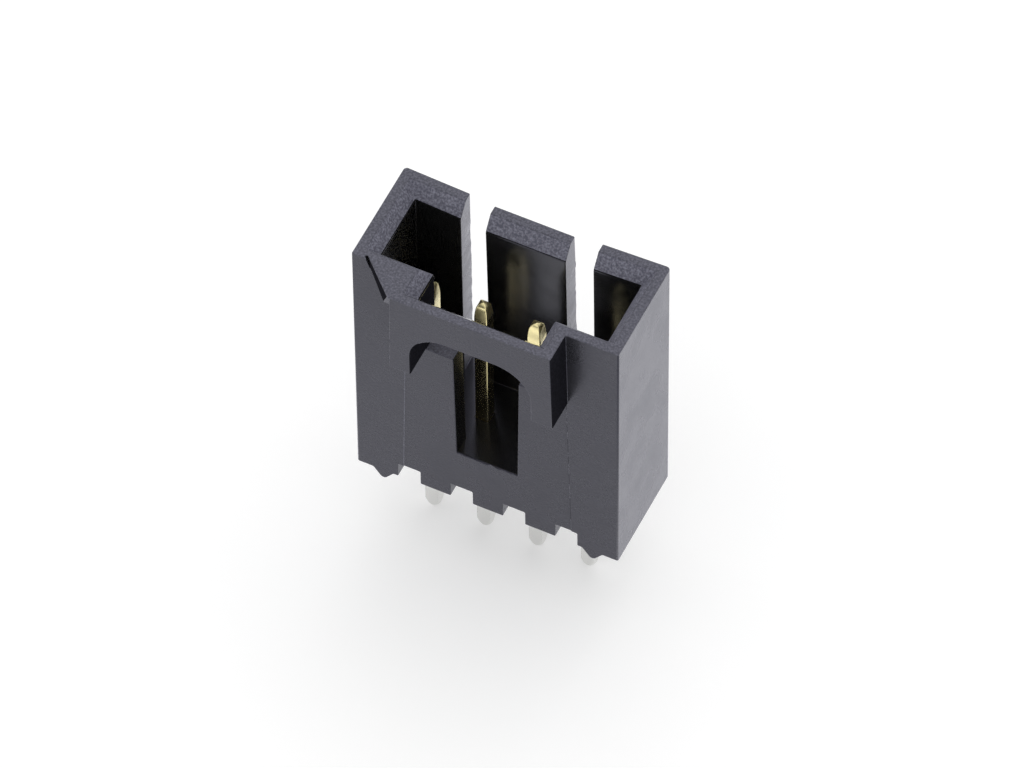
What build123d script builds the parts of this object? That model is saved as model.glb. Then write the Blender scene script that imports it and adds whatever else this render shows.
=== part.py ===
from build123d import *
import math
import os

# Four-way shrouded pin header for a 2.54 mm cable plug, in millimetres.
# X runs along the contact row, +Y is the back, +Z is the way the plug comes off.
# The origin is in the middle of the row, on the plane of the board that the feet stand on.

# Contact row
circuits = 4
pitch = 2.54

# Contact posts: one square wire each, domed at both ends
post_side = 0.64
post_edge_radius = 0.05
post_top = 11.45
tail_length = 4.7
tip_height = 0.9
tip_flat = 0.16
tip_margin = 0.01
hole_clearance = 0.01

# Housing outline, measured from the contact row and the board
end_margin = 2.52
front_reach = 2.45
back_reach = 2.75
height = 15.0
wall = 0.97
front_corner_radius = 0.08
back_corner_radius = 0.18

# Cavity that takes the plug, with its chamfered lead-in and the short steep blend below that
floor_height = 3.37
lead_in_width = 0.49
lead_in_depth = 0.67
blend_width = 0.04
blend_depth = 0.13

# Bump-out on the front wall, an upside-down U with an arch through it
bump_depth = 1.47
bump_half_top = 3.82
bump_half_bottom = 3.91
bump_underside = 10.1
bump_edge_radius = 0.06
channel_half = 2.86
arch_crown = 13.1
arch_radius = 1.7
arch_radius_share = 0.9

# Window in the front wall, below the arch
window_half_top = 1.56
window_half_bottom = 1.46

# Slots in the back wall, one on each side of the middle
slot_width = 1.25
slot_offset = 2.53

# Gusset beside the bump-out that marks contact 1, thicker towards the bump-out. Its front end
# slopes back below the rim, and a small groove in the rim runs on from its slanted face.
gusset_leg = 1.6
gusset_lip = 0.06
gusset_thin_end = 0.6
gusset_thick_end = 1.1
gusset_front_slope = 0.375
groove_width = 0.14
groove_length = 0.33

# Base: a wash notch under each contact, and a nib under each end foot
notch_width = 1.06
notch_height = 0.87
nib_half_width = 0.5
nib_depth = 0.66
nib_tip_radius = 0.2
nib_length = 1.0
nib_inset = 1.26

# Places that follow from the sizes above
row_half = (circuits - 1) * pitch / 2
contact_places = [i * pitch - row_half for i in range(circuits)]
half_length = row_half + end_margin
cavity_half = half_length - wall
cavity_front = wall - front_reach
cavity_back = back_reach - wall
bump_front = -front_reach - bump_depth
channel_front = bump_front + wall
mid_wall = wall / 2

# Slanted face of the gusset: where it leaves the front wall, its length and its direction
gusset_start = (-bump_half_top - gusset_leg, -front_reach)
gusset_run = (gusset_leg - gusset_lip, -bump_depth)
gusset_length = math.hypot(*gusset_run)
gusset_way = (gusset_run[0] / gusset_length, gusset_run[1] / gusset_length)


def block(x_range, y_range, z_range):
    """Rectangular solid between two values on each axis."""
    ranges = (x_range, y_range, z_range)
    size = [high - low for low, high in ranges]
    centre = [(high + low) / 2 for low, high in ranges]
    return Pos(*centre) * Box(*size)


def front_prism(outline, front, back):
    """Solid whose outline is drawn in X and Z, running from front to back."""
    return extrude(Plane.XZ.offset(-back) * outline, amount=back - front)


def tapered_outline(half_bottom, half_top, bottom, top):
    """Symmetric outline in X and Z with straight, slightly drafted sides."""
    corners = [(-half_bottom, bottom), (half_bottom, bottom), (half_top, top), (-half_top, top)]
    return Polygon(*corners, align=None)


def shroud():
    """Outer block of the housing with its upright corners rounded."""
    solid = block((-half_length, half_length), (-front_reach, back_reach), (0, height))
    for end, radius in ((0, front_corner_radius), (-1, back_corner_radius)):
        uprights = solid.edges().filter_by(Axis.Z).group_by(Axis.Y)[end]
        solid = fillet(uprights, radius)
    return solid


def bump_out():
    """Block that stands proud of the front wall, rooted in the middle of that wall."""
    outline = tapered_outline(bump_half_bottom, bump_half_top, bump_underside, height)
    solid = front_prism(outline, bump_front, mid_wall - front_reach)
    uprights = solid.faces().sort_by(Axis.Y)[0].edges().sort_by(Axis.X)
    return fillet([uprights[0], uprights[-1]], bump_edge_radius)


def gusset():
    """Triangular web, flush with the rim, in the corner left of the bump-out."""
    corners = [
        (-bump_half_top - gusset_leg, -front_reach),
        (-bump_half_top - gusset_lip, bump_front),
        (bump_edge_radius - bump_half_top, bump_front),
        (mid_wall - bump_half_top, bump_front + bump_edge_radius),
        (mid_wall - bump_half_top, mid_wall - front_reach),
        (-bump_half_top - gusset_leg, mid_wall - front_reach),
    ]
    web = Pos(0, 0, height) * Polygon(*corners, align=None)
    web = extrude(web, amount=wall + gusset_thick_end, dir=(0, 0, -1))
    fall = (gusset_thick_end - gusset_thin_end) / gusset_length
    underside = Plane(
        origin=(*gusset_start, height - gusset_thin_end),
        z_dir=(fall * gusset_way[0], fall * gusset_way[1], 1),
    )
    front = Plane(origin=(0, bump_front, height), z_dir=(0, 1, gusset_front_slope))
    for limit in (underside, front):
        web = split(web, bisect_by=limit, keep=Keep.TOP)
    return web


def gusset_groove():
    """Short V-groove across the rim that runs on from the gusset's slanted face."""
    way = (*gusset_way, 0)
    across = Plane(
        origin=(*gusset_start, height), x_dir=(-gusset_way[1], gusset_way[0], 0), z_dir=way
    )
    outline = Polygon((0, 0), (-groove_width, 0), (0, -gusset_thin_end), align=None)
    return extrude(
        across.offset(-groove_length) * outline, amount=groove_length + groove_width, dir=way
    )


def nib(side):
    """Rounded tooth under the front of an end foot, flush with the front wall."""
    place = side * (half_length - nib_inset)
    corners = [
        (place - nib_half_width, 0),
        (place, -nib_depth),
        (place + nib_half_width, 0),
        (place + nib_half_width, notch_height / 2),
        (place - nib_half_width, notch_height / 2),
    ]
    outline = Polygon(*corners, align=None)
    outline = fillet(outline.vertices().sort_by(Axis.Y)[0], nib_tip_radius)
    return front_prism(outline, -front_reach, nib_length - front_reach)


def mouth_outline(flare):
    """Plan of the pocket with its channel, grown by the flare on every side."""
    cavity = Pos(0, (cavity_front + cavity_back) / 2) * Rectangle(
        2 * (cavity_half + flare), cavity_back - cavity_front + 2 * flare
    )
    channel = Pos(0, (channel_front + cavity_back) / 2) * Rectangle(
        2 * (channel_half + flare), cavity_back - channel_front + 2 * flare
    )
    return cavity + channel


def lead_in():
    """Funnel round the mouth: a flat chamfer, and below it a steep blend into the wall."""
    steps = [
        (lead_in_depth + blend_depth, 0),
        (lead_in_depth, blend_width),
        (0, blend_width + lead_in_width),
    ]
    sections = [Pos(0, 0, height - depth) * mouth_outline(flare) for depth, flare in steps]
    return loft(sections, ruled=True)


def pocket():
    """Space for the plug: the cavity, and the channel that runs out into the bump-out."""
    cavity = block(
        (-cavity_half, cavity_half), (cavity_front, cavity_back), (floor_height, height)
    )
    channel = block(
        (-channel_half, channel_half), (channel_front, cavity_back), (bump_underside, height)
    )
    return cavity + channel + lead_in()


def arch():
    """Opening through the front of the bump-out, with two large rounded corners."""
    outline = tapered_outline(channel_half, channel_half, bump_underside, arch_crown)
    radius = min(arch_radius, arch_radius_share * (arch_crown - bump_underside))
    outline = fillet(outline.vertices().group_by(Axis.Y)[-1], radius)
    return front_prism(outline, bump_front, cavity_front)


def window():
    """Opening in the front wall from the cavity floor up to the channel."""
    outline = tapered_outline(
        window_half_bottom, window_half_top, floor_height, bump_underside
    )
    return front_prism(outline, -front_reach, cavity_front)


def back_slot(side):
    """Slot through the back wall, open at the top and level with the floor."""
    place = side * slot_offset
    across = (place - slot_width / 2, place + slot_width / 2)
    return block(across, (cavity_back, back_reach), (floor_height, height))


def wash_notch(place):
    """Channel under one contact that lets the solder joint be rinsed."""
    across = (place - notch_width / 2, place + notch_width / 2)
    return block(across, (-front_reach, back_reach), (0, notch_height))


def post_hole(place):
    """Square hole through the base that holds one post."""
    half = post_side / 2 + hole_clearance
    return block((place - half, place + half), (-half, half), (notch_height, floor_height))


def housing():
    """The whole moulding."""
    solid = shroud() + bump_out() + gusset()
    solid += [nib(side) for side in (-1, 1)]
    solid -= pocket()
    solid -= [arch(), window(), gusset_groove()]
    solid -= [back_slot(side) for side in (-1, 1)]
    solid -= [wash_notch(place) for place in contact_places]
    solid -= [post_hole(place) for place in contact_places]
    return solid


def post_dome():
    """Turned envelope that rounds both ends of a square post."""
    radius = post_side / math.sqrt(2) + tip_margin
    top_shoulder = post_top - tip_height
    low_shoulder = tip_height - tail_length
    profile = [
        Line((0, -tail_length), (tip_flat, -tail_length)),
        TangentArc((radius, low_shoulder), (tip_flat, -tail_length), tangent=(0, -1)),
        Line((radius, low_shoulder), (radius, top_shoulder)),
        TangentArc((radius, top_shoulder), (tip_flat, post_top), tangent=(0, 1)),
        Line((tip_flat, post_top), (0, post_top)),
        Line((0, post_top), (0, -tail_length)),
    ]
    return revolve(Plane.XZ * make_face(profile), Axis.Z)


def post():
    """One contact, standing on the origin."""
    section = Pos(0, 0, -tail_length) * RectangleRounded(post_side, post_side, post_edge_radius)
    wire = extrude(section, amount=tail_length + post_top)
    return wire & post_dome()


def save(solid, node):
    """Write one node and print what it holds."""
    export_step(solid, f"parts/{node}.step")
    size = solid.bounding_box().size
    print(f"{node}: {solid.volume:.2f} mm3, {size.X:.2f} x {size.Y:.2f} x {size.Z:.2f} mm")


os.makedirs("parts", exist_ok=True)
save(housing(), "housing")
contact = post()
for number, place in enumerate(contact_places, start=1):
    save(Pos(place, 0, 0) * contact, f"pin_{number}")
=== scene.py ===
# %% [markdown]
# # A shrouded pin header, finished for a close photograph
# The real object is a black moulded connector, about 13 mm long, that is soldered to a circuit
# board. Four square contacts stand in a deep cavity, and a cable plug slides down over them.
# The frame already holds every piece at its real size. This lesson gives each one its surface:
# soft and worn edges, the grain of the mould, the polish inside the cavity and the plated metal.

# %% Load the frame
import math
import random

import bpy
from mathutils import Matrix, Vector


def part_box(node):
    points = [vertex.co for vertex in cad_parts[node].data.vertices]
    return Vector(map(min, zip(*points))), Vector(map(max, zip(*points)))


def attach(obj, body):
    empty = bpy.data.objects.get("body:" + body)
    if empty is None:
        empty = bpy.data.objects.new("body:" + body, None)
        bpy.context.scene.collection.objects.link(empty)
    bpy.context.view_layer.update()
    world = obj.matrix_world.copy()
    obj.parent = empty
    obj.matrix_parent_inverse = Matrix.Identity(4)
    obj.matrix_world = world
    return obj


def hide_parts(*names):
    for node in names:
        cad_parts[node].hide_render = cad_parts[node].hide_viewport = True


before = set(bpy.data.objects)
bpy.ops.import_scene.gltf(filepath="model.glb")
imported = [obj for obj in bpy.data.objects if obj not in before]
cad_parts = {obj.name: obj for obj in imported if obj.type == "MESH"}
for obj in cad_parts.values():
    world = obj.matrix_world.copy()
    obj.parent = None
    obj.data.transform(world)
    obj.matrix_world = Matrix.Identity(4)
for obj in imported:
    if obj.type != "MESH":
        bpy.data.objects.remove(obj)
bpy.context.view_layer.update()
MM = 0.001
print("nodes in the frame:", sorted(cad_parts))

# %% [markdown]
# ## Sizes
# Blender works in metres and a connector is drawn in millimetres, so every size here is a number
# times `MM`. What the frame knows is read from it, so the finish follows the model if it changes.
# The others are the housing's own sizes. They could be searched for in its mesh, but written down
# they are easier to follow.

# %% Sizes read from the frame, and the housing's own
housing_low, housing_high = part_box("housing")
TAIL_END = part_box("pin_1")[0].z
BACK = housing_high.y
TOP = housing_high.z
HALF_LENGTH = housing_high.x
FRONT_WALL = -2.45 * MM
WALL = 0.97 * MM
CORNER = HALF_LENGTH - WALL
FLOOR = 3.37 * MM
BUMP_UNDERSIDE = 10.1 * MM
LEAD_IN = 0.67 * MM
BLEND = 0.13 * MM
BLEND_WIDTH = 0.05 * MM  # with a little to spare
SLOT_EDGE_IN = 1.905 * MM
SLOT_EDGE_OUT = 3.155 * MM
TOUCH = 0.01 * MM
print("housing box in mm:", [round(v / MM, 2) for v in (*housing_low, *housing_high)])

# %% [markdown]
# ## Small helpers for editing by place
# In a window the modeller clicks on faces. Here the same faces are picked by where they are.
# Everything is deselected first, because an operator acts on all that is selected.

# %% Helpers: pick one object, pick points by place
def only(piece):
    """Leave one object selected and active."""
    if bpy.context.object and bpy.context.object.mode != "OBJECT":
        bpy.ops.object.mode_set(mode="OBJECT")
    bpy.ops.object.select_all(action="DESELECT")
    piece.select_set(True)
    bpy.context.view_layer.objects.active = piece


def pick(piece, test):
    """Enter edit mode with only the points that pass the test selected."""
    only(piece)
    bpy.ops.object.mode_set(mode="EDIT")
    bpy.ops.mesh.select_mode(type="VERT")
    bpy.ops.mesh.select_all(action="DESELECT")
    bpy.ops.object.mode_set(mode="OBJECT")
    for point in piece.data.vertices:
        point.select = bool(test(point.co))
    bpy.ops.object.mode_set(mode="EDIT")


def done():
    """Leave edit mode."""
    bpy.ops.object.mode_set(mode="OBJECT")


def everywhere(place):
    """A test that every point passes."""
    return True


def near(value, goal):
    """True where a value is within a hundredth of a millimetre of its goal."""
    return abs(value - goal) < TOUCH


# %% [markdown]
# ## Three edits that are needed often
# Slicing a face, pressing points flat and clearing marks are each needed several times. They could
# be written out each time, but a helper says in one word what is done.

# %% Helpers: slice, press flat, clear the sharp marks
def slice_across(piece, test, point, direction, **settings):
    """Cut the picked faces along the plane through a point, square to a direction."""
    pick(piece, test)
    bpy.ops.mesh.bisect(plane_co=point, plane_no=direction, **settings)
    done()


def press_flat(piece, test, depth):
    """Press the picked points into the upright plane at one depth."""
    pick(piece, test)
    bpy.ops.transform.resize(value=(1, 0, 1), center_override=(0, depth, 0))
    done()


def clear_sharp(piece):
    """Take every sharp mark off the edges."""
    pick(piece, everywhere)
    bpy.ops.mesh.mark_sharp(clear=True)
    done()


# %% [markdown]
# ## A clean copy of a CAD piece
# A piece comes in as loose triangles. They could be rounded as they are, but the bevel would then
# find an edge between any two of them. So the copy is welded, and triangles that lie in one plane
# are joined into single faces, which leaves only the real edges.

# %% Helper: copy a node as a welded mesh
FLAT = math.radians(0.5)
WELD = 0.001 * MM


def welded_copy(node, name):
    """A welded copy of one node, with its flat triangles joined."""
    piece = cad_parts[node].copy()
    piece.data = piece.data.copy()
    piece.name = piece.data.name = name
    for key in list(piece.keys()):
        del piece[key]  # these labels belong to the CAD node alone
    piece.parent = None
    bpy.context.scene.collection.objects.link(piece)
    pick(piece, everywhere)
    bpy.ops.mesh.remove_doubles(threshold=WELD)
    bpy.ops.mesh.dissolve_limited(angle_limit=FLAT)
    done()
    clear_sharp(piece)
    print(name, "has", len(piece.data.polygons), "faces after welding")
    return piece


# %% [markdown]
# ## The housing: a back wall that can bend
# Two slots cut the back wall into three tongues, and on the real housing they don't stand quite
# straight. A face bends only where it has points, so the wall is sliced into level bands.
# Subdividing the piece would do it too, but that would also cut every wall that stays straight.

# %% Slice the back wall into levels
LEVELS = 12
housing = welded_copy("housing", "housing_moulding")
UPWARDS = (0, 0, 1)


def on_back_face(place):
    """True for a point of the outer face of the back wall."""
    return place.y > BACK - TOUCH


def on_back_wall(place):
    """True for a point of the back wall above the cavity floor."""
    return place.y > BACK - WALL - TOUCH and place.z > FLOOR - TOUCH


slice_across(housing, on_back_face, (0, 0, FLOOR), UPWARDS)
for level in range(1, LEVELS):
    height = FLOOR + (TOP - LEAD_IN - BLEND - FLOOR) * level / LEVELS
    slice_across(housing, on_back_wall, (0, 0, height), UPWARDS)
print("back wall sliced at", LEVELS - 1, "levels")

# %% [markdown]
# ## Worn edges
# The slides of a mould wear, and plastic creeps past them. That leaves the upright edges of the
# slots and the lower edge of the window a little ragged. A noise texture with a Displace modifier
# could do this, but it would move the flat faces too. So each edge is cut into short lengths, and
# its points get a seeded random move. They are then pressed back into the wall, which is still
# one plane at this stage, and nothing stands out of the model's box.

# %% Make the upright edges of the slots ragged
RAGGED = 0.02 * MM
RAGGED_REACH = 4 * RAGGED
SLOT_CUTS = 2
SLOT_SEED = 51


def make_ragged(cut, moved, cuts, amount, seed):
    """Cut the edges between some points into short lengths, and push points about at random."""
    pick(housing, cut)
    bpy.ops.mesh.subdivide(number_cuts=cuts)
    done()
    pick(housing, moved)
    bpy.ops.transform.vertex_random(offset=amount, uniform=1.0, normal=0.0, seed=seed)
    done()


def slot_edge(side, place_x, reach):
    """A test for the points within reach of the outer upright edge of one slot."""
    return lambda place: (
        abs(place.y - BACK) < reach
        and abs(place.x - side * place_x) < reach
        and FLOOR + TOUCH < place.z < TOP - LEAD_IN
    )


ragged_edges = 0
for side in (-1, 1):
    for place_x in (SLOT_EDGE_IN, SLOT_EDGE_OUT):
        on_edge = slot_edge(side, place_x, TOUCH)
        make_ragged(on_edge, on_edge, SLOT_CUTS, RAGGED, SLOT_SEED + ragged_edges)
        press_flat(housing, slot_edge(side, place_x, RAGGED_REACH), BACK)
        ragged_edges += 1
print("ragged upright edges:", ragged_edges)

# %% [markdown]
# ## The sill of the window
# The lower edge of the window is the most ragged one, because the slide that forms the window
# shuts off against the cavity floor there. The edge could be moved as it is, but the whole floor
# would crease with it. So a narrow strip of the floor is cut off along the edge first, and only
# the strip follows the ragged edge.

# %% Make the lower edge of the window ragged
SILL_RAGGED = 0.08 * MM
SILL_STRIP = 0.15 * MM
SILL_CUTS = 15
SILL_SEED = 21
SILL_HALF = 1.4 * MM
WINDOW_REACH = 1.6 * MM


def window_sill(place):
    """True for a point of the lower edge of the window, with its corners."""
    return near(place.y, FRONT_WALL) and near(place.z, FLOOR) and abs(place.x) < WINDOW_REACH


def inner_sill(place):
    """True for a point of the lower edge of the window, without its corners."""
    return window_sill(place) and abs(place.x) < SILL_HALF


def around_sill(place):
    """True for a point that the random move may have left near the edge."""
    reach = SILL_STRIP - TOUCH
    return abs(place.z - FLOOR) < reach and abs(place.y - FRONT_WALL) < reach


slice_across(
    housing, lambda place: near(place.z, FLOOR), (0, FRONT_WALL + SILL_STRIP, 0), (0, 1, 0)
)
make_ragged(window_sill, inner_sill, SILL_CUTS, SILL_RAGGED, SILL_SEED)
press_flat(housing, around_sill, FRONT_WALL)
print("window sill cut into", SILL_CUTS + 1, "lengths")

# %% [markdown]
# ## Tongues that lean
# As the plastic cooled, the tongues leaned inwards: the middle one by a quarter of a millimetre at
# its tip, the other two only at their free ends. Proportional editing could pull them over, but
# then the shape would depend on a brush. Here each point gets a weight by a bending formula, and
# one Displace modifier moves them all.

# %% Lean the three tongues inwards
MIDDLE_LEAN = 0.265 * MM
SIDE_LEAN = 0.11 * MM
BEND = 1.3


def lean_at(place):
    """How far a point of the back wall leans in, like a springboard fixed at the floor."""
    if place.y < BACK - 2 * WALL or place.z < FLOOR:
        return 0.0
    rise = (place.z - FLOOR) / (TOP - FLOOR)
    if abs(place.x) < (SLOT_EDGE_IN + SLOT_EDGE_OUT) / 2:
        return MIDDLE_LEAN * rise**BEND
    along = (CORNER - abs(place.x)) / (CORNER - SLOT_EDGE_OUT)
    return SIDE_LEAN * max(along, 0.0) * rise**BEND


leaning = housing.vertex_groups.new(name="leaning")
for point in housing.data.vertices:
    share = lean_at(point.co) / MIDDLE_LEAN
    if share > 0:
        leaning.add([point.index], share, "REPLACE")
only(housing)
lean = housing.modifiers.new("lean", "DISPLACE")
lean.direction = "Y"
lean.mid_level = 0
lean.strength = -MIDDLE_LEAN
lean.vertex_group = "leaning"
bpy.ops.object.modifier_apply(modifier="lean")
housing.vertex_groups.clear()  # the weights have done their work
print("tongues lean in by", MIDDLE_LEAN / MM, "and", SIDE_LEAN / MM, "mm")

# %% [markdown]
# ## Soft edges
# No moulded edge is a razor: each has a radius of a few hundredths of a millimetre, and it catches
# the light as a thin line. The real edges are found by their angle. A Bevel modifier could round
# them too, but a few edges stay sharp, and the operator simply rounds what is selected. Its clamp
# is off, because it would make every edge as fine as the shortest one allows. The groove beside
# the gusset and the front end of the gusset are left out: their faces meet in slivers, and a
# cutter's mark in the mould prints sharp anyway. Rounding a ragged edge can push a point past the
# back by a hair, so the back is pressed flat once more.

# %% Round every real edge of the housing
EDGE_RADIUS = 0.045 * MM
EDGE_SEGMENTS = 2
SHARP = math.radians(32)
GUSSET_REACH = 5.9 * MM
GUSSET_FRONT = Vector((-3.82, -3.92, 14.6)) * MM
GUSSET_FRONT_REACH = 0.7 * MM
GROOVE_REACH = 0.3 * MM
GROOVE_NEAR_END = 5 * MM


def stays_sharp(place):
    """True for a point of the small groove in the rim, or of the gusset's front end."""
    behind = -TOUCH < place.y - FRONT_WALL < GROOVE_REACH
    along = -GUSSET_REACH < place.x < -GROOVE_NEAR_END
    groove = behind and along and place.z > TOP - LEAD_IN
    return groove or (place - GUSSET_FRONT).length < GUSSET_FRONT_REACH


only(housing)
bpy.ops.object.mode_set(mode="EDIT")
bpy.ops.mesh.select_mode(type="EDGE")
bpy.ops.mesh.select_all(action="DESELECT")
bpy.ops.mesh.edges_select_sharp(sharpness=SHARP)
done()
points = housing.data.vertices
for edge in housing.data.edges:
    if edge.select and all(stays_sharp(points[index].co) for index in edge.vertices):
        edge.select = False
bpy.ops.object.mode_set(mode="EDIT")
bpy.ops.mesh.bevel(
    offset=EDGE_RADIUS,
    segments=EDGE_SEGMENTS,
    clamp_overlap=False,
    miter_outer="ARC",
    affect="EDGES",
)
done()
press_flat(housing, lambda place: place.y > BACK, BACK)
print("housing has", len(housing.data.polygons), "faces once softened")

# %% [markdown]
# ## The mark of a mould insert
# The arch and the window are formed by an insert, and it stands a hair prouder than the rest of
# the mould. So the middle of the front wall is a few hundredths of a millimetre lower than its
# sides, and the two steps show as a light line on the left and a dark line on the right. Lines
# painted in the material alone could look right in one picture, but they would stay light or dark
# from every other side. So these are real steps: each is two cuts a step's width apart, and all
# that lies between the two steps is moved back. Their lines are painted on as well, further down:
# a painted highlight on the left step and dashes of painted shade on the right one.

# %% Lower the middle of the front wall
INSERT_DEPTH = 0.035 * MM
STEP_WIDTH = 0.03 * MM
STEP_TOP = Vector((3.84, -2.45, 9.7)) * MM
STEP_LEAN = 0.0236


def step_at(place):
    """How far outside the insert a point of the front wall lies."""
    return abs(place.x) - (STEP_TOP.x + (STEP_TOP.z - place.z) * STEP_LEAN)


def at_front_wall(place):
    """True for a point as deep as the front wall, with the rounding at its edges."""
    return abs(place.y - FRONT_WALL) < EDGE_RADIUS + TOUCH


def on_front_wall(place):
    """True for a point of the front wall below the bump-out."""
    return at_front_wall(place) and place.z < BUMP_UNDERSIDE + TOUCH


for side in (-1, 1):
    for offset in (0, STEP_WIDTH):
        slice_across(
            housing,
            at_front_wall,
            (side * (STEP_TOP.x + offset), STEP_TOP.y, STEP_TOP.z),
            (1, 0, side * STEP_LEAN),
            threshold=WELD / 10,
        )
pick(housing, lambda place: on_front_wall(place) and step_at(place) < STEP_WIDTH / 2)
bpy.ops.transform.translate(value=(0, INSERT_DEPTH, 0))
done()
clear_sharp(housing)
print("middle of the front wall lowered by", INSERT_DEPTH / MM, "mm")

# %% [markdown]
# ## Short lengths of step, and flat faces
# The photographed steps come and go along their length, so each is cut into short lengths, which
# get painted light on the left step and dashes of painted shade on the right one. Then the piece
# is shaded smooth, with the large faces kept flat by weighted normals. The steps are too narrow to
# count there, so their edges are marked sharp.

# %% Cut the steps into lengths, and shade the housing
STEP_CUTS = 40
STEP_SPARE = 0.5
LARGE_FACES_ONLY = 100


def on_step(place):
    """True for a point of one of the two steps, with half a width to spare."""
    return on_front_wall(place) and -STEP_SPARE < step_at(place) / STEP_WIDTH < 1 + STEP_SPARE


def flatten(piece):
    """Shade a piece smooth, with its large faces left flat and the rounding between them."""
    only(piece)
    bpy.ops.object.shade_smooth()
    level = piece.modifiers.new("level", "WEIGHTED_NORMAL")
    level.mode = "FACE_AREA"
    level.weight = LARGE_FACES_ONLY
    level.keep_sharp = True
    bpy.ops.object.modifier_apply(modifier="level")


for cut in range(1, STEP_CUTS):
    height = BUMP_UNDERSIDE * cut / STEP_CUTS
    slice_across(housing, on_step, (0, 0, height), UPWARDS, threshold=WELD)
pick(housing, on_step)
bpy.ops.mesh.mark_sharp()
done()
flatten(housing)
print("housing has", len(housing.data.polygons), "faces in the end")

# %% [markdown]
# ## The contacts
# Each contact is one square wire. Its upper end is coined between two pairs of jaws, which leaves
# four long flats that curve in to a small blunt top, so that the plug finds its way. The solid has
# a turned dome there. It could be carved into flats, but the cut would be hard to keep even, so it
# is cut off, and the tip is built up from the wire's own section: one ring above the other, each a
# little smaller.

# %% Helper: coin the tip of one contact
SHOULDER = 0.9 * MM
TIP_RINGS = (  # height above the shoulder in mm, and share of the wire's width
    (0.25, 0.96),
    (0.5, 0.88),
    (0.68, 0.79),
    (0.76, 0.68),
    (0.81, 0.53),
    (0.85, 0.34),
    (0.88, 0.14),
    (0.9, 0.02),
)


def coin_tip(piece):
    """Replace the end of a wire by rings that shrink towards the top."""
    low, high = piece.bound_box[0], piece.bound_box[6]
    middle = ((low[0] + high[0]) / 2, (low[1] + high[1]) / 2)
    start = high[2] - SHOULDER
    slice_across(piece, everywhere, (0, 0, start), UPWARDS, clear_outer=True)
    pick(piece, lambda place: place.z > start - TOUCH)
    bpy.ops.mesh.edge_face_add()
    size_before, rise_before = 1.0, 0.0
    for rise, size in TIP_RINGS:
        step = (rise - rise_before) * MM
        bpy.ops.mesh.extrude_region_move(TRANSFORM_OT_translate={"value": (0, 0, step)})
        scale = size / size_before
        bpy.ops.transform.resize(
            value=(scale, scale, 1), center_override=(*middle, start + rise * MM)
        )
        size_before, rise_before = size, rise
    done()
    print(piece.name, "coined, top at", round((start + rise_before * MM) / MM, 3), "mm")


# %% [markdown]
# ## Rounded wire
# The wire was drawn through a die, so its four long edges are a little round. All edges of a
# contact can take the same radius, and a Bevel modifier is enough.

# %% Make the four contacts
POST_EDGE = 0.03 * MM
contacts = []
for node in ("pin_1", "pin_2", "pin_3", "pin_4"):
    contact = welded_copy(node, node.replace("pin", "contact"))
    coin_tip(contact)
    only(contact)
    soften = contact.modifiers.new("soften", "BEVEL")
    soften.width = POST_EDGE
    soften.segments = EDGE_SEGMENTS
    soften.limit_method = "ANGLE"
    soften.angle_limit = SHARP
    bpy.ops.object.modifier_apply(modifier="soften")
    flatten(contact)
    contacts.append(contact)
print("contacts:", [contact.name for contact in contacts])

# %% [markdown]
# ## Materials
# Colours are written as hex values, the way a paint chip or a picture editor gives them. Blender
# mixes light in linear values, so one function converts them. Nodes could be added one by one with
# their sockets set by hand, but one small function keeps each to a line or two.

# %% Helpers: colours and nodes
def hex_colour(code):
    """Linear colour, with alpha, from an sRGB hex value such as #2A2B2E."""
    parts = [int(code[i : i + 2], 16) / 255 for i in (1, 3, 5)]
    line = [c / 12.92 if c <= 0.04045 else ((c + 0.055) / 1.055) ** 2.4 for c in parts]
    return (*line, 1.0)


def add_node(tree, kind, links=(), **settings):
    """Add one node, set its inputs and properties, and link other sockets into it."""
    node = tree.nodes.new(kind)
    for key, value in settings.items():
        if hasattr(node, key):
            setattr(node, key, value)
        else:
            node.inputs[key.replace("_", " ")].default_value = value
    for source, target in links:
        tree.links.new(source, node.inputs[target])
    return node


def new_material(name):
    """A material with its tree, its shader and its object coordinates."""
    material = bpy.data.materials.new(name)
    material.use_nodes = True
    tree = material.node_tree
    shader = tree.nodes["Principled BSDF"]
    place = add_node(tree, "ShaderNodeTexCoord")
    return material, tree, shader, place.outputs["Object"]


MIX_FROM, MIX_TO, MIX_COLOUR = 6, 7, 2  # sockets of a Mix node that mixes colours
print("a middle grey of #808080 is", round(hex_colour("#808080")[0], 3), "in linear light")

# %% [markdown]
# ### Glass-filled polyester, as the mould leaves it
# Header housings are moulded in a black polyester with glass fibre. It is almost pure black: what
# the eye sees is the white surroundings mirrored in its skin, so the tone of a face says which way
# it looks, and how finely the steel that formed it was finished. One material with a mask for each
# finish would do, but its gloss would then be a linked value. So one function makes the plastic
# once for each finish, and they differ in their colour, roughness and grain.

# %% Helper: black polyester with a chosen finish
# Glass fibre lifts the refractive index of the skin a little above that of bare polyester.
POLYESTER_IOR = 1.6
# Steel that is spark-eroded to a satin has a grain of about 0.03 mm. That is under a pixel here,
# so the grain is drawn as coarse as it needs to show.
GRAIN = 0.1 * MM
# The gloss changes slowly over the skin, where the melt met the steel a little hotter or cooler.
CLOUD = 1.5 * MM
# Noise keeps close to its middle, so only that part of its range is spread over the values.
SPECK_RANGE = (0.4, 0.7)
CLOUD_RANGE = (0.3, 0.7)
GRAIN_DETAIL = 3.0
CLOUD_DETAIL = 2.0
# A level of 0.5 leaves the mirror as strong as the refractive index makes it.
FULL_GLOSS = 0.5
# The mirror and the sheen are tinted a little blue, as the greys in the photograph are.
SKIN_TINT = "#E6E6FF"
SHEEN_TINT = "#EEEEFF"
SHEEN_ROUGHNESS = 0.35


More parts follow.
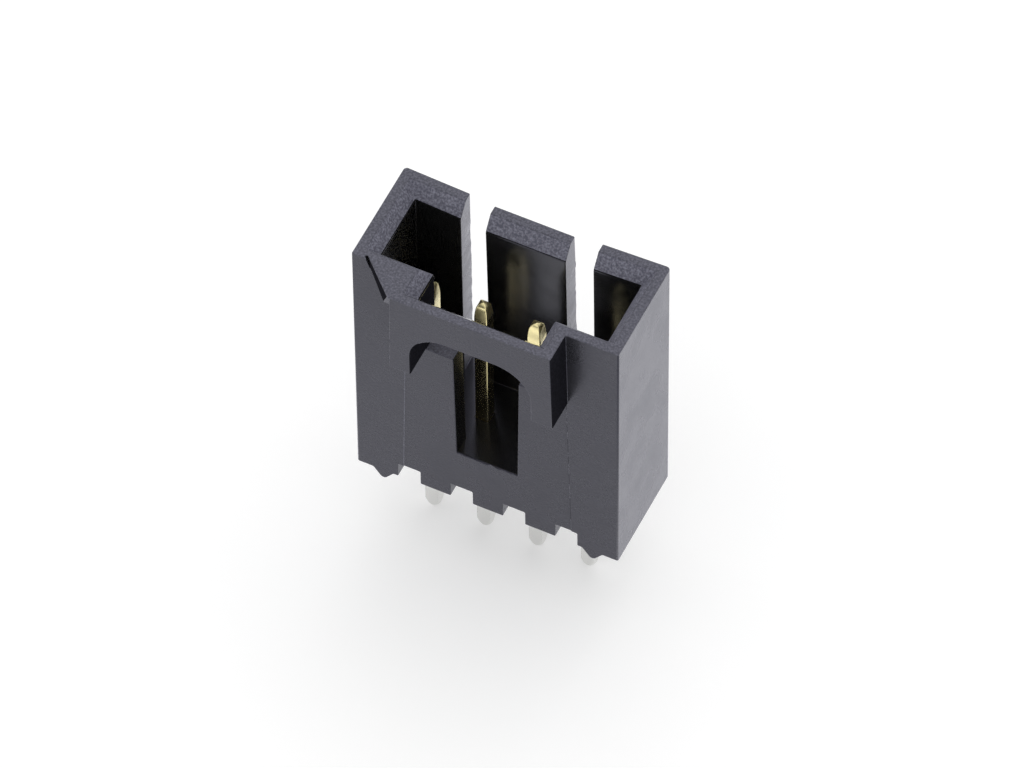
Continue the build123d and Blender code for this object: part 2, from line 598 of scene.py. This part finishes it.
def polyester(
    name, colours, roughness, grain_size, grain_depth, gloss=FULL_GLOSS, tint=SKIN_TINT, sheen=0.0
):
    """Black glass-filled polyester. Colours and roughness run from one value to the other."""
    material, tree, shader, place = new_material("glass_filled_polyester_" + name)
    shader.inputs["IOR"].default_value = POLYESTER_IOR
    shader.inputs["Specular IOR Level"].default_value = gloss
    shader.inputs["Specular Tint"].default_value = hex_colour(tint)
    shader.inputs["Sheen Weight"].default_value = sheen
    shader.inputs["Sheen Roughness"].default_value = SHEEN_ROUGHNESS
    shader.inputs["Sheen Tint"].default_value = hex_colour(SHEEN_TINT)
    grain = add_node(
        tree,
        "ShaderNodeTexNoise",
        [(place, "Vector")],
        Scale=1 / grain_size,
        Detail=GRAIN_DETAIL,
    )
    specks = add_node(
        tree,
        "ShaderNodeMapRange",
        [(grain.outputs["Fac"], "Value")],
        From_Min=SPECK_RANGE[0],
        From_Max=SPECK_RANGE[1],
    )
    colour = add_node(tree, "ShaderNodeMix", [(specks.outputs["Result"], 0)], data_type="RGBA")
    colour.inputs[MIX_FROM].default_value = hex_colour(colours[0])
    colour.inputs[MIX_TO].default_value = hex_colour(colours[1])
    tree.links.new(colour.outputs[MIX_COLOUR], shader.inputs["Base Color"])
    cloud = add_node(
        tree, "ShaderNodeTexNoise", [(place, "Vector")], Scale=1 / CLOUD, Detail=CLOUD_DETAIL
    )
    rough = add_node(
        tree,
        "ShaderNodeMapRange",
        [(cloud.outputs["Fac"], "Value")],
        From_Min=CLOUD_RANGE[0],
        From_Max=CLOUD_RANGE[1],
        To_Min=roughness[0],
        To_Max=roughness[1],
    )
    tree.links.new(rough.outputs["Result"], shader.inputs["Roughness"])
    height = [(grain.outputs["Fac"], "Height")]
    bump = add_node(tree, "ShaderNodeBump", height, Strength=1.0, Distance=grain_depth)
    tree.links.new(bump.outputs["Normal"], shader.inputs["Normal"])
    return material


# %% [markdown]
# ### Satin, and satin with painted light: the outside of the shroud
# The outside was formed by finely spark-eroded steel. Its satin skin mirrors a soft, bluish image
# of the white surroundings, and a sheen lifts the faces that are seen at a glancing angle.
# At the sides of the slots that look right, and at the left step of the insert, the skin looks
# paler where it catches more light. That is painted light here: the second material is the satin
# one in lighter colours.

# %% Materials: satin polyester, and satin with painted light
satin, painted_light = [
    polyester(
        name,
        colours,
        roughness=(0.22, 0.32),
        grain_size=GRAIN,
        grain_depth=0.007 * MM,
        tint="#CECEEC",
        sheen=0.6,
    )
    for name, colours in (
        ("satin", ("#0E0E11", "#1E1E22")),
        # lighter colours: painted light on the slot sides and the left step
        ("painted_light", ("#505058", "#686870")),
    )
]
print("made", satin.name, "and", painted_light.name)

# %% [markdown]
# ### Sparked and coarsely sparked: the rim and the lead-in
# The rim was formed by steel with a rough spark-eroded skin, and the slopes of the lead-in by a
# rougher one still. Such a skin scatters the light, so it looks grey and speckled from every side
# and shows no image of the surroundings. Its craters could be cut into the mesh, but that would
# take millions of faces, so they are drawn as specks of colour and a bump. The slopes are also a
# lighter grey than the rim, and that is painted light: it lifts them to the rim's tone, where the
# mouth of the cavity gives them less light.

# %% Materials: two coarse skins
sparked = polyester(
    "sparked",
    colours=("#3E3E44", "#62626C"),
    roughness=(0.45, 0.6),
    grain_size=GRAIN,
    grain_depth=0.01 * MM,
)
funnel = polyester(
    "coarse_spark_and_painted_light",
    # lighter grey: painted light that lifts the slopes to the rim's tone
    colours=("#50505A", "#82828E"),
    roughness=(0.5, 0.65),
    grain_size=GRAIN,
    grain_depth=0.012 * MM,
)
print("made", sparked.name, "and", funnel.name)

# %% [markdown]
# ### Polished: inside the cavity
# The core that forms the cavity is polished so that the plug slides in and the part comes off
# easily. It gives a deep black with clear reflections: the contacts show in it as golden streaks.
# A perfect mirror would do from afar, but up close it would look like glass. Polishing by hand
# leaves a waviness about half a millimetre wide, so that is the width of the pattern here.

# %% Material: polished polyester
WAVE = 0.5 * MM
polished = polyester(
    "polished",
    colours=("#141414", "#181818"),
    roughness=(0.16, 0.26),
    grain_size=WAVE,
    grain_depth=0.002 * MM,
    gloss=0.42,
)
print("made", polished.name)

# %% [markdown]
# ### Painted shade: the sides of the bump-out, the left side of the arch and the grooves
# These walls stand in creases and gaps, where they look black against the white table. This
# material is painted shade for them. A darker colour wouldn't give that, because even pure black
# mirrors some white, so the mirror itself is turned off.

# %% Material: painted shade, a black polyester without mirror
# painted shade: black with no mirror, for walls that lie in shade
painted_shade = polyester(
    "painted_shade",
    colours=("#1A1A1E", "#24242A"),
    roughness=(0.8, 0.9),
    grain_size=GRAIN,
    grain_depth=0.004 * MM,
    gloss=0.0,
)
print("made", painted_shade.name)

# %% [markdown]
# ### Burnished: the slope behind the arch
# From the front, the slope inside the bump-out is seen almost edge on, as a thin bright line where
# it mirrors the white behind it. It could be painted light, but then it would be light from every
# side. So it gets the smoothest skin of all, as if plugs had rubbed it bright.

# %% Material: burnished polyester
burnished = polyester(
    "burnished",
    colours=("#3E3E44", "#4A4A50"),
    roughness=(0.1, 0.14),
    grain_size=WAVE,
    grain_depth=0.0005 * MM,
)
print("made", burnished.name)

# %% [markdown]
# ### Plated contact wire
# The wire is a copper alloy. Its upper end is plated with gold, for the plug, and its tail with
# tin, for the solder. Two pieces with a material each would show a seam, so one material changes
# at a height inside the base, where nobody sees it. The gold mirrors sharply on the drawn wire,
# and more softly on the coined tip. The tin gives the tails a pale, soft shine.

# %% Material: gold above, tin below
PLATING_CHANGE = 2.0 * MM
COINED = (10.2 * MM, 10.8 * MM)
WIRE_ROUGHNESS = 0.18
TIP_ROUGHNESS = 0.36
TIN = "#E2E2E0"
GOLD = "#FFF2B8"
# The crystals of the plating are a few thousandths of a millimetre, far too fine to show. They are
# drawn at 0.12 mm, and shallow, which breaks up the reflections as the real ones do.
PLATING_GRAIN = 0.12 * MM
PLATING_GRAIN_DEPTH = 0.002 * MM
PLATING_DETAIL = 2.0


def plated_wire():
    """Contact wire with bright gold at the top and tin on the tail."""
    material, tree, shader, place = new_material("copper_alloy_gold_and_tin_plated")
    shader.inputs["Metallic"].default_value = 1.0
    split = add_node(tree, "ShaderNodeSeparateXYZ", [(place, "Vector")])
    gold_part = add_node(
        tree, "ShaderNodeMath", [(split.outputs["Z"], 0)], operation="GREATER_THAN"
    )
    gold_part.inputs[1].default_value = PLATING_CHANGE
    colour = add_node(tree, "ShaderNodeMix", data_type="RGBA")
    tree.links.new(gold_part.outputs[0], colour.inputs[0])
    colour.inputs[MIX_FROM].default_value = hex_colour(TIN)
    colour.inputs[MIX_TO].default_value = hex_colour(GOLD)
    tree.links.new(colour.outputs[MIX_COLOUR], shader.inputs["Base Color"])
    rough = add_node(
        tree,
        "ShaderNodeMapRange",
        [(split.outputs["Z"], "Value")],
        From_Min=COINED[0],
        From_Max=COINED[1],
        To_Min=WIRE_ROUGHNESS,
        To_Max=TIP_ROUGHNESS,
    )
    tree.links.new(rough.outputs["Result"], shader.inputs["Roughness"])
    grain = add_node(
        tree,
        "ShaderNodeTexNoise",
        [(place, "Vector")],
        Scale=1 / PLATING_GRAIN,
        Detail=PLATING_DETAIL,
    )
    height = [(grain.outputs["Fac"], "Height")]
    bump = add_node(tree, "ShaderNodeBump", height, Distance=PLATING_GRAIN_DEPTH)
    tree.links.new(bump.outputs["Normal"], shader.inputs["Normal"])
    return material


plated = plated_wire()
print("made", plated.name)

# %% [markdown]
# ## Which finish, painted light or painted shade goes where
# In a window the modeller would pick faces and assign a slot. Here each face is asked where it
# lies and which way it looks. Each question below is one part of the mould, and `way` is the
# direction that a face looks in, so a share near 1 along an axis means straight that way.

# %% Tests: inside the cavity and the bump-out
BUMP_SIDE = 3.7 * MM
STRAIGHT = 0.9
TURNED_RIGHT = 0.3
NOT_UPWARDS = 0.5
NOT_FORWARDS = -0.5


def below_lead_in(place):
    """True below the slopes of the lead-in."""
    return place.z < TOP - LEAD_IN + TOUCH


def in_cavity(place):
    """True between the walls of the cavity."""
    along = abs(place.x) < CORNER + BLEND_WIDTH
    across = FRONT_WALL + WALL - BLEND_WIDTH < place.y < BACK - WALL + BLEND_WIDTH
    return along and across and place.z > FLOOR - TOUCH and below_lead_in(place)


def in_arch(place, way):
    """True for the left side of the arch and of the channel, which look right."""
    ahead = abs(place.x) < BUMP_SIDE and place.y < FRONT_WALL
    return ahead and way.x > TURNED_RIGHT and way.z < NOT_UPWARDS


def in_channel(place, way):
    """True for the rest of the channel and for the sides of the window."""
    ahead = abs(place.x) < BUMP_SIDE and place.y < FRONT_WALL + WALL
    return ahead and way.y > NOT_FORWARDS and place.z > FLOOR and below_lead_in(place)


print("tests for the inside:", [test.__name__ for test in (in_cavity, in_arch, in_channel)])

# %% [markdown]
# ## The outside
# The same questions for the outside: the rounding round the front of the bump-out, the walls
# beside it, the sides of the slots, and the slopes and the rim at the top.

# %% Tests: outside, and at the rim
TURNED_DOWN = -0.2
LEFT_ROUNDING = (-0.6, -0.05)
SIDEWAYS = 0.45
UPRIGHT = 0.3
TURNED_BACK = 0.3
SLOPE = (0.4, 0.8)
TURNED_UP = 0.1


def on_bump_rounding(place, way):
    """True for the lower and the left rounding at the front of the bump-out."""
    front = place.y < FRONT_WALL - WALL and place.z > BUMP_UNDERSIDE - TOUCH
    return front and (way.z < TURNED_DOWN or LEFT_ROUNDING[0] < way.x < LEFT_ROUNDING[1])


def beside_bump(place, way):
    """True for the sides of the bump-out, the gusset and the groove."""
    sideways = abs(way.x) > SIDEWAYS and abs(way.z) < UPRIGHT
    groove = abs(place.x) < GUSSET_REACH and place.y < FRONT_WALL + GROOVE_REACH
    ahead = place.y < FRONT_WALL - TOUCH
    return sideways and place.z > BUMP_UNDERSIDE and (ahead or groove)


def on_slot_side(place, way):
    """True for the side of a slot that looks right."""
    at_slot = SLOT_EDGE_IN - BLEND < abs(place.x) < SLOT_EDGE_OUT + BLEND
    return way.x > STRAIGHT and place.y > BACK - WALL and at_slot


def on_inner_slope(place, way):
    """True for the slope inside the bump-out that looks back."""
    return way.y > TURNED_BACK and way.z > SLOPE[0] and place.y < FRONT_WALL - TOUCH


def on_lead_in(place, way):
    """True for the other slopes of the lead-in."""
    return SLOPE[0] < way.z < SLOPE[1] and place.z < TOP - EDGE_RADIUS


outside = (on_bump_rounding, beside_bump, on_slot_side, on_inner_slope, on_lead_in)
print("tests for the outside:", [test.__name__ for test in outside])

# %% [markdown]
# ## Asking every face
# The questions are put in an order, because a face may pass more than one, and the first wins.
# The dark step on the right is broken in the photograph, so a seeded draw decides for each of its
# short lengths whether it gets painted shade.

# %% Give the finishes, with the painted light and shade, to the housing
finishes_and_paints = {
    "satin": satin,
    "sparked": sparked,
    "polished": polished,
    "painted_shade": painted_shade,
    "funnel": funnel,
    "painted_light": painted_light,
    "burnished": burnished,
}
STEP_FACE = 0.2
# share of the right step's short lengths that get painted shade
DASHED = 0.65
DASH_SEED = 4
dashes = random.Random(DASH_SEED)


def finish_or_paint_at(face):
    """Which finish of the mould, or which painted light or shade, a face of the housing shows."""
    place, way = face.center, face.normal
    if on_step(place) and abs(way.x) > STEP_FACE:
        # painted highlight on the left step
        if place.x < 0:
            return "painted_light"
        # dashes of painted shade on the right step
        return "painted_shade" if dashes.random() < DASHED else "satin"
    if way.z > STRAIGHT and near(place.z, BUMP_UNDERSIDE):
        return "sparked"
    if in_cavity(place):
        return "polished"
    if in_arch(place, way):
        # painted shade on the left side of the arch and of the channel
        return "painted_shade"
    if in_channel(place, way):
        return "polished"
    if on_bump_rounding(place, way):
        return "sparked"
    if beside_bump(place, way):
        # painted shade on the sides of the bump-out, the gusset and the groove
        return "painted_shade"
    if on_slot_side(place, way):
        # painted light on the side of a slot that looks right
        return "painted_light"
    if on_inner_slope(place, way):
        return "burnished"
    if place.z > TOP - LEAD_IN - TOUCH and way.z > TURNED_UP:
        # the slopes get the coarse skin with its painted light
        return "funnel" if on_lead_in(place, way) else "sparked"
    return "satin"


housing.data.materials.clear()
for finish in finishes_and_paints.values():
    housing.data.materials.append(finish)
names = list(finishes_and_paints)
for face in housing.data.polygons:
    face.material_index = names.index(finish_or_paint_at(face))
faces_with = [face.material_index for face in housing.data.polygons]
print("faces by finish:", {name: faces_with.count(names.index(name)) for name in names})

# %% [markdown]
# ## Plate the contacts
# All four contacts come off the same reel of plated wire, so they share one material. It reads
# their own coordinates, and these begin at the plane of the board for each of them.

# %% Give the plating to the contacts
for contact in contacts:
    contact.data.materials.clear()
    contact.data.materials.append(plated)
print("plated:", len(contacts), "contacts")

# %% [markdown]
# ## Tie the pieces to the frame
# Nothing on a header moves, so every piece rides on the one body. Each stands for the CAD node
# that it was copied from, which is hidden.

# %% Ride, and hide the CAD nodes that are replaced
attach(housing, "root")
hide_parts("housing")
for number, contact in enumerate(contacts, start=1):
    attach(contact, "root")
    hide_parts(f"pin_{number}")
print("pieces tied:", 1 + len(contacts))

# %% [markdown]
# ## The white table
# The header is photographed on a seamless white sheet under light from all round, so its only
# shadow is a soft grey pool under the tails. A curved sheet would do, but from this height one
# plane fills the view. Matt paper mirrors nothing. It glows a little for the camera and in
# reflections, which makes it pure white there. Brighter lamps would do that too, but they would
# light the header as well. The paper still darkens where the header keeps the light off.

# %% Floor of matt white paper
FLOOR_SIZE = 0.8
GLOW = 0.12
PAPER = "#FCFCFC"
PAPER_ROUGHNESS = 0.9
WHITE = "#FFFFFF"
bpy.ops.object.select_all(action="DESELECT")
bpy.ops.mesh.primitive_plane_add(size=FLOOR_SIZE, location=(0, 0, TAIL_END))
table_top = bpy.context.object
table_top.name = "table_top"
sheet, sheet_tree, sheet_shader, _ = new_material("white_paper_sheet")
sheet_shader.inputs["Base Color"].default_value = hex_colour(PAPER)
sheet_shader.inputs["Roughness"].default_value = PAPER_ROUGHNESS
sheet_shader.inputs["Specular IOR Level"].default_value = 0.0
ray = add_node(sheet_tree, "ShaderNodeLightPath")
seen = ray.outputs["Is Camera Ray"]
for other in ("Is Glossy Ray", "Is Transmission Ray"):
    both = [(seen, 0), (ray.outputs[other], 1)]
    seen = add_node(sheet_tree, "ShaderNodeMath", both, operation="ADD").outputs[0]
glow = add_node(sheet_tree, "ShaderNodeMath", [(seen, 0)], operation="MULTIPLY")
glow.inputs[1].default_value = GLOW
sheet_shader.inputs["Emission Color"].default_value = hex_colour(WHITE)
sheet_tree.links.new(glow.outputs[0], sheet_shader.inputs["Emission Strength"])
table_top.data.materials.append(sheet)
print("table top at", round(TAIL_END / MM, 2), "mm")

# %% [markdown]
# ## Light from all round
# A small part is photographed in a tent of white cloth, which lights it evenly and gives its
# skin something white to mirror. A ring of lamps would light it too, but each would leave a spot
# in the skin, and the world does the same as a tent with one colour. The view transform is set to
# Standard, which shows each colour as it is written.

# %% White tent
TENT_LIGHT = 0.95
world = bpy.data.worlds.new("white_tent")
bpy.context.scene.world = world
world.use_nodes = True
tent = world.node_tree.nodes["Background"]
tent.inputs["Color"].default_value = hex_colour(WHITE)
tent.inputs["Strength"].default_value = TENT_LIGHT
bpy.context.scene.view_settings.view_transform = "Standard"
print("tent at strength", TENT_LIGHT)

# %% [markdown]
# ## One softbox above and behind
# The tops and the right end of the header are a little lighter than its front. A brighter world
# would lift all faces alike, so one large weak lamp adds that difference.

# %% Softbox
SOFTBOX_SIDE = 0.2
SOFTBOX_AWAY = 0.3
SOFTBOX_LIGHT = 0.35
SOFTBOX_FROM = Vector((-0.12, 0.53, 0.8)).normalized()
POWER_FOR_BRIGHTNESS = 4  # a square lamp's power is this times its area and its brightness
bpy.ops.object.select_all(action="DESELECT")
bpy.ops.object.light_add(
    type="AREA",
    location=SOFTBOX_FROM * SOFTBOX_AWAY,
    rotation=SOFTBOX_FROM.to_track_quat("Z", "Y").to_euler(),
)
softbox = bpy.context.object
softbox.name = softbox.data.name = "softbox"
softbox.data.size = SOFTBOX_SIDE
softbox.data.energy = POWER_FOR_BRIGHTNESS * SOFTBOX_SIDE**2 * SOFTBOX_LIGHT
print("softbox of", round(softbox.data.energy, 4), "W")

# %% [markdown]
# ## The camera
# The photograph was taken from far away with a long lens, from the front right and well above.
# The angles and the distance were worked out from the corners of the header in the picture. The
# camera is turned first and then moved back along its own axis, so each number has one meaning.

# %% Camera
AZIMUTH = math.radians(26.34)
ELEVATION = math.radians(53.43)
ROLL = math.radians(-0.61)
DISTANCE = 476.6 * MM
AIM_RIGHT = 0.011 * MM
AIM_UP = 3.762 * MM
LENS = 382.4
SENSOR = 36.0
NEAR_LIMIT = 0.01
FAR_LIMIT = 10.0

turn = Matrix.Rotation(AZIMUTH, 4, "Z") @ Matrix.Rotation(math.pi / 2 - ELEVATION, 4, "X")
turn = turn @ Matrix.Rotation(ROLL, 4, "Z")
spot = turn @ Vector((AIM_RIGHT, AIM_UP, DISTANCE))
bpy.ops.object.select_all(action="DESELECT")
bpy.ops.object.camera_add(location=spot, rotation=turn.to_euler())
camera = bpy.context.object
camera.name = "camera"
camera.data.lens = LENS
camera.data.sensor_width = SENSOR
camera.data.clip_start = NEAR_LIMIT
camera.data.clip_end = FAR_LIMIT
bpy.context.scene.camera = camera
print("camera at", [round(v, 4) for v in camera.location], "m")
